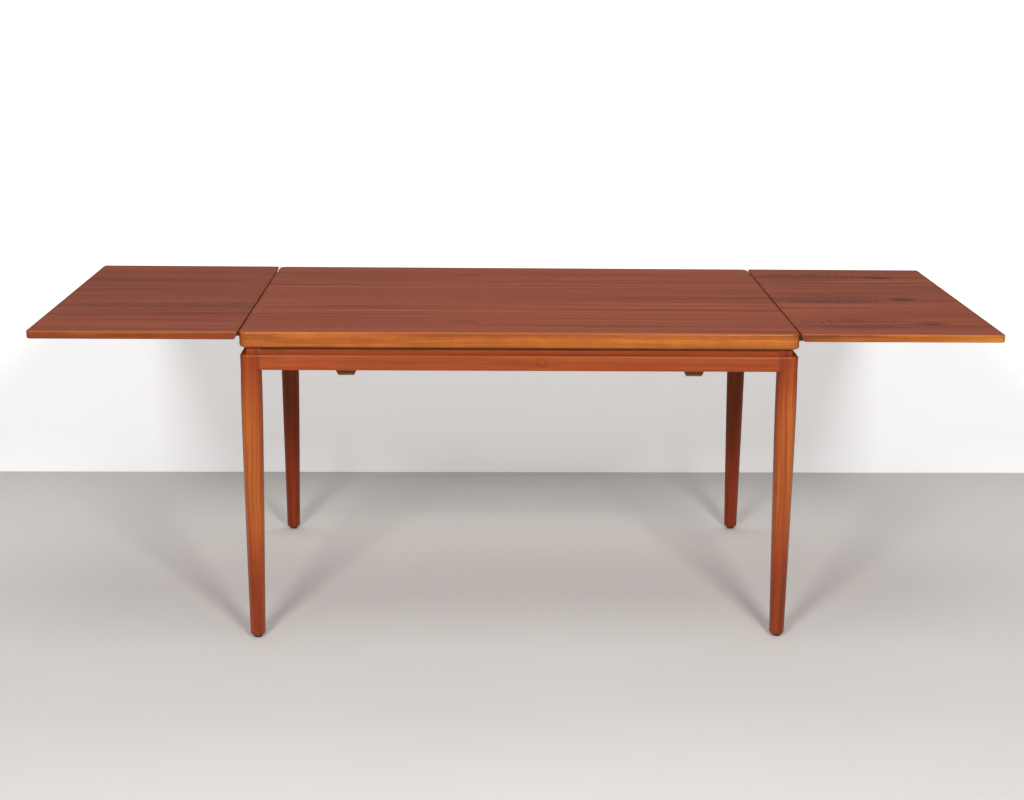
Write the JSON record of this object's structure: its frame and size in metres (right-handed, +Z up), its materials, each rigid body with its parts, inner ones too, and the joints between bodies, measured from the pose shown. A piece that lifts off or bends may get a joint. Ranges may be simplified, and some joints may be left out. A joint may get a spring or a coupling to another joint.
{
  "type": "draw-leaf table",
  "caption": "Mid-century draw-leaf dining table in red-brown teak, with both leaves drawn out level with the top, tapered legs and a stepped-in slot under the top.",
  "frame": {"origin": "on the floor under the centre of the table", "axes": "+X along the table towards the right leaf, +Y towards the back, +Z up"},
  "size_m": [2.188, 0.85, 0.73],
  "materials": {
    "teak_veneer": "red-brown teak veneer, satin lacquer",
    "solid_teak": "solid red-brown teak, satin lacquer",
    "beech": "stained beech, bare",
    "board": "veneered blockboard, bare",
    "black_plastic": "moulded, matt",
    "steel_screws": "zinc-plated"
  },
  "bodies": {
    "underframe": {"leg_front_left": "solid_teak", "glide_front_left": "black_plastic", "corner_block_front_left": "beech", "leg_back_left": "solid_teak", "glide_back_left": "black_plastic", "corner_block_back_left": "beech", "leg_front_right": "solid_teak", "glide_front_right": "black_plastic", "corner_block_front_right": "beech", "leg_back_right": "solid_teak", "glide_back_right": "black_plastic", "corner_block_back_right": "beech", "apron_front": "solid_teak", "apron_back": "solid_teak", "apron_left": "solid_teak", "apron_right": "solid_teak", "cross_rail_left": "beech", "cross_rail_right": "beech", "bridge_rail_left": "beech", "bridge_rail_right": "beech", "cleat_front": "beech", "cleat_back": "beech", "centre_board": "board", "corner_block_screws": "steel_screws", "cleat_screws": "steel_screws", "bridge_rail_screws": "steel_screws", "centre_board_screws": "steel_screws"},
    "main_top": {"top_panel": "teak_veneer", "top_lipping_front": "solid_teak", "top_lipping_back": "solid_teak", "top_lipping_left": "solid_teak", "top_lipping_right": "solid_teak", "top_batten_front": "beech", "top_batten_back": "beech", "top_batten_left": "beech", "top_batten_right": "beech", "guide_peg_front": "beech", "guide_peg_back": "beech"},
    "left_leaf": {"leaf_left_panel": "teak_veneer", "leaf_left_lipping_front": "solid_teak", "leaf_left_lipping_back": "solid_teak", "leaf_left_lipping_inner": "solid_teak", "leaf_left_lipping_outer": "solid_teak", "leaf_left_screws": "steel_screws", "runner_left_front": "beech", "runner_left_back": "beech", "stop_peg_left_front": "beech", "stop_peg_left_back": "beech"},
    "right_leaf": {"leaf_right_panel": "teak_veneer", "leaf_right_lipping_front": "solid_teak", "leaf_right_lipping_back": "solid_teak", "leaf_right_lipping_inner": "solid_teak", "leaf_right_lipping_outer": "solid_teak", "leaf_right_screws": "steel_screws", "runner_right_front": "beech", "runner_right_back": "beech", "stop_peg_right_front": "beech", "stop_peg_right_back": "beech"}
  },
  "joints": [
    {"name": "top_lift", "type": "slide", "parent": "underframe", "child": "main_top", "axis": [0, 0, 1], "range_m": [0, 0.06]},
    {"name": "left_leaf_slide", "type": "slide", "parent": "underframe", "child": "left_leaf", "axis": [-0.9992, 0, 0.0392], "range_m": [-0.0028, 0.01]},
    {"name": "right_leaf_slide", "type": "slide", "parent": "underframe", "child": "right_leaf", "axis": [0.9992, 0, 0.0392], "range_m": [-0.0028, 0.01]}
  ]
}
